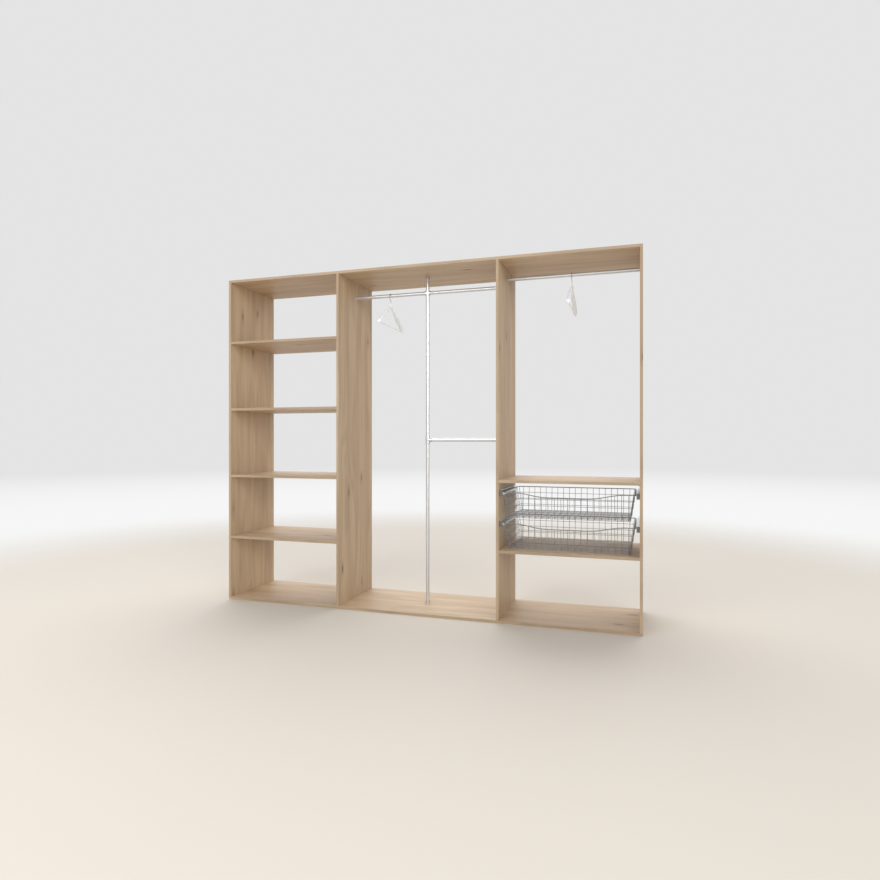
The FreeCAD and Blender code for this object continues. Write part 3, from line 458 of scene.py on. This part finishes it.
def basket_wires(rim_box, sizes):
    """The paths of one basket's wires, from the box round its rim."""
    low, high = rim_box
    wire, rim = sizes.wire_radius, sizes.rim_radius
    middle = Vector(((low.x + high.x) / 2, (low.y + high.y) / 2, high.z - rim))
    half_x = (high.x - low.x) / 2 - rim
    half_y = (high.y - low.y) / 2 - rim
    deep = sizes.row * sizes.rows
    # Centre lines of the upright wires where they pass the rim's inner side
    top_x = half_x - rim - wire * RIM_WELD
    top_y = half_y - rim - wire * RIM_WELD
    slope_x = sizes.inset_x / deep
    slope_y = sizes.inset_y / deep
    # The wires from front to back lie lowest on the floor, and those from side to side lie on them
    floor_a = -deep + wire
    floor_b = floor_a + wire * CROSS_WELD
    count_x = int((top_x - sizes.inset_x - CORNER_ROOM * wire) / sizes.pitch)
    count_y = int((top_y - sizes.inset_y - CORNER_ROOM * wire) / sizes.pitch)
    paths = []
    for n in range(-count_x, count_x + 1):
        x = n * sizes.pitch
        front = dip_height(x, sizes)
        y_front = top_y + slope_y * front
        y_low = top_y + slope_y * floor_a
        corners = [(x, -y_front, front), (x, -y_low, floor_a), (x, y_low, floor_a), (x, top_y, 0)]
        paths.append((bent([middle + Vector(c) for c in corners], sizes.wire_bend, False), False))
    for n in range(-count_y, count_y + 1):
        y = n * sizes.pitch
        x_low = top_x + slope_x * floor_b
        corners = [(-top_x, y, 0), (-x_low, y, floor_b), (x_low, y, floor_b), (top_x, y, 0)]
        paths.append((bent([middle + Vector(c) for c in corners], sizes.wire_bend, False), False))
    # Level rows lie against the outside of the upright wires, and the lowest runs round at their bends
    for row in range(1, sizes.rows + 1):
        last = row == sizes.rows
        z = floor_a if last else -sizes.row * row
        out = wire * CROSS_WELD if not last else 0.0
        x = top_x + slope_x * z + out
        y = top_y + slope_y * z + out
        corners = [(-x, -y, z), (x, -y, z), (x, y, z), (-x, y, z)]
        paths.append((bent([middle + Vector(c) for c in corners], sizes.loop_corner, True), True))
    # Corner wires run from inside the rim's bends to the bends of the lowest row
    top_slack = CORNER_CUT * (sizes.rim_corner - rim) + wire * CORNER_WELD
    foot_slack = CORNER_CUT * sizes.loop_corner
    for sx in (-1, 1):
        for sy in (-1, 1):
            top = (sx * (half_x - rim - top_slack), sy * (half_y - rim - top_slack), 0)
            x = top_x + slope_x * floor_a - foot_slack
            y = top_y + slope_y * floor_a - foot_slack
            paths.append(([middle + Vector(top), middle + Vector((sx * x, sy * y, floor_a))], False))
    return paths


def arm_drop(y):
    """How far the line of the hanger's arm lies below the middle of the rod, at a distance from the hook."""
    reach = math.hypot(y, NECK_ROUND) - NECK_ROUND
    step = NECK_STEP * (1 - math.exp(-reach / NECK_RUN))
    return NECK_DROP + step + ARM_SLOPE * reach + ARM_STEEPENING * reach * reach


def skinned(rings):
    """A closed skin over rings of points."""
    made = bmesh.new()
    loops = [[made.verts.new(point) for point in ring] for ring in rings]
    for first, second in zip(loops, loops[1:]):
        for n in range(len(first)):
            made.faces.new((first[n], first[n - 1], second[n - 1], second[n]))
    made.faces.new(loops[0])
    made.faces.new(reversed(loops[-1]))
    bmesh.ops.recalc_face_normals(made, faces=made.faces)
    return made


def hanger_arms(sizes, reach, steps=64, points=40):
    """Both arms as one skin of ovals: slim beside the neck, broad and rounded at the shoulders."""
    side = [(n / steps * (reach - sizes.shoulder_round), 1.0) for n in range(steps)]
    for turn in SHOULDER_TURNS:
        angle = math.radians(turn)
        side.append((reach - sizes.shoulder_round * (1 - math.sin(angle)), math.cos(angle)))
    stations = [(-y, share) for y, share in reversed(side[1:])] + side
    turns = [2 * math.pi * n / points for n in range(points)]
    rings = []
    for y, share in stations:
        swell = (1 + math.tanh((abs(y) - SWELL_AT) / SWELL_RUN)) / 2
        half_x = (sizes.arm_root + (sizes.shoulder - sizes.arm_root) * swell) * share
        half_z = (ARM_HALF_HEIGHT - ARM_TAPER * abs(y) / reach) * share
        rings.append([(half_x * math.cos(t), y, half_z * math.sin(t) - arm_drop(y)) for t in turns])
    return skinned(rings)


def turned(profile, start, axis, points=24):
    """A round piece about an axis from pairs of distance and radius."""
    turn = axis.to_track_quat("Z", "Y")
    turns = [2 * math.pi * n / points for n in range(points)]
    rings = []
    for along, radius in profile:
        ring = [Vector((radius * math.cos(t), radius * math.sin(t), along)) for t in turns]
        rings.append([start + turn @ point for point in ring])
    return skinned(rings)


def carved(name, base, additions, cuts, place):
    """A plain mesh object: the base with rounds added and bores cut, moved to its place."""
    made = []
    for count, form in enumerate([base, *additions, *cuts]):
        mesh = bpy.data.meshes.new("%s_%d" % (name, count))
        form.to_mesh(mesh)
        form.free()
        mesh.transform(Matrix.Translation(place))
        made.append(bpy.data.objects.new(mesh.name, mesh))
        bpy.context.scene.collection.objects.link(made[-1])
    kinds = ["UNION"] * len(additions) + ["DIFFERENCE"] * len(cuts)
    for tool, kind in zip(made[1:], kinds):
        modifier = made[0].modifiers.new(tool.name, "BOOLEAN")
        modifier.operation = kind
        modifier.solver = "EXACT"
        modifier.object = tool
    bpy.context.view_layer.update()
    result = bpy.data.meshes.new_from_object(made[0].evaluated_get(bpy.context.evaluated_depsgraph_get()))
    for one in made:
        bpy.data.objects.remove(one)
    result.name = name
    # The cuts leave a few needle-thin faces, whose corners are joined
    clean = bmesh.new()
    clean.from_mesh(result)
    bmesh.ops.remove_doubles(clean, verts=clean.verts, dist=WELD_DISTANCE)
    clean.to_mesh(result)
    clean.free()
    result.shade_smooth()
    result.set_sharp_from_angle(angle=CREASE)
    if not result.polygons:
        raise RuntimeError(name + " came out empty")
    piece = bpy.data.objects.new(name, result)
    bpy.context.scene.collection.objects.link(piece)
    return piece


def hanger_body(name, node_box, sizes):
    """The moulded body: arms, collar for the hook, and a lug under each shoulder for the trouser bar."""
    low, high = node_box
    rod_middle = Vector(((low.x + high.x) / 2, (low.y + high.y) / 2, high.z + BODY_TOP))
    reach = (high.y - low.y) / 2
    down = Vector((0, 0, -1))
    lug = reach - LUG_INSET
    bar = arm_drop(reach) + BAR_DROP
    additions = [turned(COLLAR, Vector(), down)]
    depth = bar + LUG_BELOW_BAR - arm_drop(lug)
    for side in (-1, 1):
        start = Vector((0, side * lug, -arm_drop(lug)))
        profile = ((0, LUG_RADIUS), (depth - LUG_CHAMFER, LUG_RADIUS), (depth, LUG_END_RADIUS))
        additions.append(turned(profile, start, down))
    bar_hole = turned(
        ((0, BAR_HOLE_RADIUS), (2 * lug + 2 * BAR_HOLE_PAST_MIDDLE, BAR_HOLE_RADIUS)),
        Vector((0, -lug - BAR_HOLE_PAST_MIDDLE, -bar)),
        Vector((0, 1, 0)),
    )
    cuts = [turned(HOOK_BORE, Vector(), down), turned(HEAD_POCKET, Vector(), down), bar_hole]
    return carved(name, hanger_arms(sizes, reach), additions, cuts, rod_middle)


class CLOSET_OT_carcass(bpy.types.Operator):
    """Oak print on the boards and their edge bands"""

    bl_idname = "closet.carcass"
    bl_label = "Carcass boards"

    def execute(self, context):
        colours = context.scene.closet_colours
        dress(SIDE_PANELS, oak_melamine("oak_melamine_upright", "Z", colours))
        dress(BOARDS_LEVEL, oak_melamine("oak_melamine_level", "X", colours))
        # The dividers' print is a shade darker: painted shade, standing in for less light on their faces
        dress(DIVIDERS, oak_melamine("oak_melamine_divider_painted_shade", "Z", colours, share=0.91))
        # The bands follow their board's grain, printed darker as painted shade on the front edges: the first slot is
        # for the uprights' bands
        dress(("front_edge_bands",), oak_melamine("oak_band_upright_painted_shade", "Z", colours, share=0.78),
              oak_melamine("oak_band_level_painted_shade", "X", colours, share=0.74))
        spans = [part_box(name) for name in SIDE_PANELS + DIVIDERS]
        mesh = NODES["front_edge_bands"].data
        for face in mesh.polygons:
            x, _, z = face.center
            on_upright = any(low.x <= x <= high.x and low.z <= z <= high.z for low, high in spans)
            face.material_index = 0 if on_upright else 1
        return {"FINISHED"}


class CLOSET_OT_fasteners(bpy.types.Operator):
    """Screws, dowels and shelf pins of the carcass and the fittings"""

    bl_idname = "closet.fasteners"
    bl_label = "Fasteners"

    def execute(self, context):
        colours = context.scene.closet_colours
        dress(("panel_screws", "fitting_screws", "runner_screws", "shelf_pins", "connector_grub_screws"),
              zinc_plate("zinc_plated_fastener", colours.zinc))
        dress(("panel_dowels",), turned_beech("turned_beech", colours.beech))
        return {"FINISHED"}


class CLOSET_OT_rods(bpy.types.Operator):
    """Hanging rods, pole, cups, connectors and end plugs"""

    bl_idname = "closet.rods"
    bl_label = "Rods and pole"

    def execute(self, context):
        colours = context.scene.closet_colours
        # Less than full metal, so that the tubes stay pale where they reflect the shaded boards above them
        level = drawn_metal("chromed_tube_level", "X", colours.chrome, metallic=0.65, rough=0.3, spread=0.05)
        upright = drawn_metal("chromed_tube_upright", "Z", colours.chrome, metallic=0.85, rough=0.3, spread=0.05)
        dress(RODS, level)
        dress(("pole", "pole_foot_cup", "pole_top_cup", "pole_cross_connector", "pole_tee_connector"), upright)
        dress(("rod_end_plugs",), moulded_plastic("moulded_end_plug", colours.plug, rough=0.4, grain=0.1))
        return {"FINISHED"}


class CLOSET_OT_hangers(bpy.types.Operator):
    """Clothes hangers: wire hook, moulded body and trouser bar"""

    bl_idname = "closet.hangers"
    bl_label = "Clothes hangers"

    def execute(self, context):
        colours = context.scene.closet_colours
        hook = drawn_metal("chromed_wire", "Z", colours.hook, metallic=1.0, rough=0.18, spread=0.08)
        body = moulded_plastic("moulded_white_plastic", colours.plastic_white, rough=0.36, grain=0.08)
        for side in SIDES:
            dress(("hanger_%s_hook" % side,), hook)
            dress(("hanger_%s_trouser_bar" % side,), body)
            node_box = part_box("hanger_%s_body" % side)
            moulded = hanger_body("hanger_%s_moulding" % side, node_box, context.scene.closet_sizes)
            moulded.data.materials.append(body)
            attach(moulded, "hanger_" + side)
            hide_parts("hanger_%s_body" % side)
        return {"FINISHED"}


class CLOSET_OT_baskets(bpy.types.Operator):
    """Wire baskets: round welded wire in place of the square grilles, the rim and the front clips"""

    bl_idname = "closet.baskets"
    bl_label = "Wire baskets"

    def execute(self, context):
        colours = context.scene.closet_colours
        sizes = context.scene.closet_sizes
        coat = coated_wire("epoxy_coated_wire", colours.wire)
        clip = moulded_plastic("moulded_dark_plastic", colours.plastic_dark, rough=0.42, grain=0.2)
        tree = wire_tree("round_wire")
        for which in BASKETS:
            rim = "basket_%s_rim" % which
            dress((rim,), coat)
            dress(("basket_%s_front_clips" % which,), clip)
            mesh = path_mesh("wire_paths", basket_wires(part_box(rim), sizes))
            inputs = {"Wire Radius": sizes.wire_radius, "Wire Sides": sizes.wire_sides, "Finish": coat}
            wires = grown("basket_%s_wires" % which, mesh, tree, inputs)
            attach(wires, "basket_" + which)
            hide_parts("basket_%s_mesh" % which)
        return {"FINISHED"}


class CLOSET_OT_runners(bpy.types.Operator):
    """Ball runners of the baskets: outer and inner members, ball cages, carriers and rivets"""

    bl_idname = "closet.runners"
    bl_label = "Runners"

    def execute(self, context):
        colours = context.scene.closet_colours
        zinc = zinc_plate("bright_zinc_steel", colours.zinc)
        for which in BASKETS:
            for side in SIDES:
                run = "%s_%s" % (which, side)
                dress(("runner_%s_outer" % run, "runner_%s_inner" % run, "ball_cage_" + run), zinc)
                dress(("basket_%s_carrier_%s" % (which, side),), zinc)
            dress(("basket_%s_rivets" % which,), zinc)
        return {"FINISHED"}


def lamp(name, place, aim, power, size=None, spread=None):
    """A soft lamp turned to the point it lights: a panel of a width and height, or an even light from far off."""
    data = bpy.data.lights.new(name, "AREA" if size else "SUN")
    if size:
        data.shape = "RECTANGLE"
        data.size, data.size_y = size
    else:
        data.angle = spread
    data.energy = power
    made = bpy.data.objects.new(name, data)
    made.location = place
    made.rotation_euler = (Vector(aim) - Vector(place)).to_track_quat("-Z", "Y").to_euler()
    bpy.context.scene.collection.objects.link(made)


class CLOSET_OT_stage(bpy.types.Operator):
    """Plain pale floor, plain soft lamps, pale background and the camera"""

    bl_idname = "closet.stage"
    bl_label = "Floor, lamps and camera"

    def execute(self, context):
        scene = context.scene
        colours = scene.closet_colours
        scene.view_settings.view_transform = "Standard"
        mesh = bpy.data.meshes.new("floor")
        corners = [(x * FLOOR_HALF, y * FLOOR_HALF, 0) for x, y in ((-1, -1), (1, -1), (1, 1), (-1, 1))]
        mesh.from_pydata(corners, [], [(0, 1, 2, 3)])
        floor = bpy.data.objects.new("floor", mesh)
        scene.collection.objects.link(floor)
        made, tree = material("painted_floor")
        place = node(tree, "ShaderNodeTexCoord", outputs="Object")
        far = node(tree, "ShaderNodeVectorMath", {"operation": "LENGTH"}, {0: place}, 1)
        # Matt paint that gives way to the pale background far behind the unit
        paint = node(tree, "ShaderNodeBsdfPrincipled", links={"Base Color": colours.floor, "Roughness": 0.75})
        to_wall, to_haze = [
            node(tree, "ShaderNodeMapRange", {"interpolation_type": "SMOOTHSTEP"},
                 {"Value": far, "From Min": near, "From Max": end}, 0)
            for near, end in (HAZE_TO_WALL, PAINT_TO_HAZE)
        ]
        tone = node(tree, "ShaderNodeMix", {"data_type": "RGBA"},
                    {"Factor": to_wall, 6: colours.haze, 7: colours.wall}, 2)
        glow = node(tree, "ShaderNodeEmission", links={"Color": tone, "Strength": 1.0})
        shown = node(tree, "ShaderNodeMixShader", links={0: to_haze, 1: paint.outputs[0], 2: glow.outputs[0]})
        node(tree, "ShaderNodeOutputMaterial", links={"Surface": shown.outputs[0]})
        mesh.materials.append(made)

        world = bpy.data.worlds.new("studio")
        world.use_nodes = True
        scene.world = world
        tree = world.node_tree
        tree.nodes.clear()
        # Camera, reflected and transmitted rays see the pale wall, and the other rays get the softer sky light
        ray = node(tree, "ShaderNodeLightPath")
        seen = node(tree, "ShaderNodeMath", {"operation": "MAXIMUM"},
                    {0: ray.outputs["Is Camera Ray"], 1: ray.outputs["Is Transmission Ray"]}, 0)
        seen = node(tree, "ShaderNodeMath", {"operation": "MAXIMUM"}, {0: seen, 1: ray.outputs["Is Glossy Ray"]}, 0)
        light = node(tree, "ShaderNodeBackground", links={"Color": linear(SKY), "Strength": SKY_STRENGTH})
        wall = node(tree, "ShaderNodeBackground", links={"Color": colours.wall, "Strength": 1.0})
        both = node(tree, "ShaderNodeMixShader", links={0: seen, 1: light.outputs[0], 2: wall.outputs[0]})
        node(tree, "ShaderNodeOutputWorld", links={"Surface": both.outputs[0]})

        # A large panel at the front left, low light from the right into the bays, and high light from behind
        lamp("lamp_left", (-1.7, -7.2, 4.7), (0.0, 0.0, 1.3), size=(6.6, 4.4), power=295.0)
        lamp("lamp_right", (3.8, -4.2, 1.2), (0.0, 0.0, 0.0), spread=0.7, power=1.3)
        lamp("lamp_back", (-1.2, 3.6, 6.0), (0.0, 0.0, 0.0), spread=1.2, power=2.1)

        data = bpy.data.cameras.new("camera")
        data.sensor_fit = "HORIZONTAL"
        data.sensor_width = CAMERA_SENSOR
        data.lens = CAMERA_LENS
        camera = bpy.data.objects.new("camera", data)
        camera.location = CAMERA_PLACE
        camera.rotation_euler = CAMERA_TURNS
        scene.collection.objects.link(camera)
        scene.camera = camera
        return {"FINISHED"}


class CLOSET_PT_panel(bpy.types.Panel):
    """Lists the closet's operators and its sizes and colours"""

    bl_idname = "CLOSET_PT_panel"
    bl_label = "Closet"
    bl_space_type = "VIEW_3D"
    bl_region_type = "UI"
    bl_category = "Closet"

    def draw(self, context):
        for one in OPERATORS:
            self.layout.operator(one.bl_idname)
        for group in (context.scene.closet_sizes, context.scene.closet_colours):
            box = self.layout.box()
            for key in group.bl_rna.properties.keys():
                if key not in ("rna_type", "name"):
                    box.prop(group, key)


OPERATORS = (
    CLOSET_OT_carcass,
    CLOSET_OT_fasteners,
    CLOSET_OT_rods,
    CLOSET_OT_hangers,
    CLOSET_OT_baskets,
    CLOSET_OT_runners,
    CLOSET_OT_stage,
)
CLASSES = (ClosetColours, ClosetSizes, *OPERATORS, CLOSET_PT_panel)


def register():
    """Registers the classes and gives the scene its two groups of properties."""
    for one in CLASSES:
        bpy.utils.register_class(one)
    bpy.types.Scene.closet_colours = bpy.props.PointerProperty(type=ClosetColours)
    bpy.types.Scene.closet_sizes = bpy.props.PointerProperty(type=ClosetSizes)


def unregister():
    """Takes back what register gave."""
    del bpy.types.Scene.closet_sizes
    del bpy.types.Scene.closet_colours
    for one in reversed(CLASSES):
        bpy.utils.unregister_class(one)


def main():
    """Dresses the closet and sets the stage."""
    register()
    bpy.ops.closet.carcass()
    bpy.ops.closet.fasteners()
    bpy.ops.closet.rods()
    bpy.ops.closet.hangers()
    bpy.ops.closet.baskets()
    bpy.ops.closet.runners()
    bpy.ops.closet.stage()


if __name__ == "__main__":
    main()
